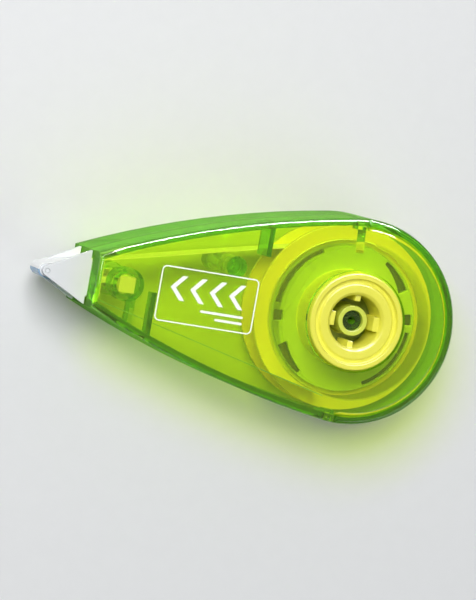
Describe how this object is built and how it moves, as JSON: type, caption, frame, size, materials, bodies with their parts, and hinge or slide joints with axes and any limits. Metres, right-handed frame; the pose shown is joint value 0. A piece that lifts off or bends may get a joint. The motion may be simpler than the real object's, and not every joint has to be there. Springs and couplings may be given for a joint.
{
  "type": "correction tape roller",
  "caption": "Pocket correction tape roller with a clear case, coaxial clutch-driven reels, a white transfer head and a nose roller.",
  "frame": {"origin": "centre of the bounding box, on the flat back face that the roller lies on", "axes": "+X from the nose towards the round end, +Y across the case, +Z from the back face up to the front face with the winding hole"},
  "size_m": [0.0588, 0.0286, 0.0152],
  "materials": {
    "clear_lime": "clear, polished",
    "white_plastic": "satin",
    "roller_plastic": "smooth",
    "reel_plastic": "milky",
    "correction_layer": "chalky",
    "carrier_film": "glossy",
    "slip_film": "smooth film",
    "spring_steel": "drawn wire",
    "friction_rubber": "matt"
  },
  "bodies": {
    "housing": {"front_case": "clear_lime", "back_case": "clear_lime", "transfer_head": "white_plastic", "tape_run": "correction_layer", "film_run": "carrier_film"},
    "supply": {"supply_reel": "reel_plastic", "supply_coil": "correction_layer", "partition_disc": "slip_film", "spring_washer": "reel_plastic", "clutch_spring": "spring_steel", "clutch_plate": "reel_plastic", "friction_ring": "friction_rubber"},
    "take_up": {"take_up_reel": "reel_plastic", "take_up_coil": "carrier_film"},
    "nose": {"nose_roller": "roller_plastic"}
  },
  "joints": [
    {"name": "supply_spin", "type": "hinge", "parent": "housing", "child": "supply", "pos_m": [0.0151, 0, 0.005], "axis": [0, 0, 1], "continuous": true},
    {"name": "take_up_spin", "type": "hinge", "parent": "housing", "child": "take_up", "pos_m": [0.0151, 0, 0.0112], "axis": [0, 0, 1], "continuous": true},
    {"name": "nose_roller_spin", "type": "hinge", "parent": "housing", "child": "nose", "pos_m": [-0.0284, 0, 0.00745], "axis": [0, 0, 1], "continuous": true}
  ],
  "couplings": [
    {"joint": "take_up_spin", "follows": "supply_spin", "ratio": 0.9025},
    {"joint": "nose_roller_spin", "follows": "supply_spin", "ratio": 11.765}
  ]
}
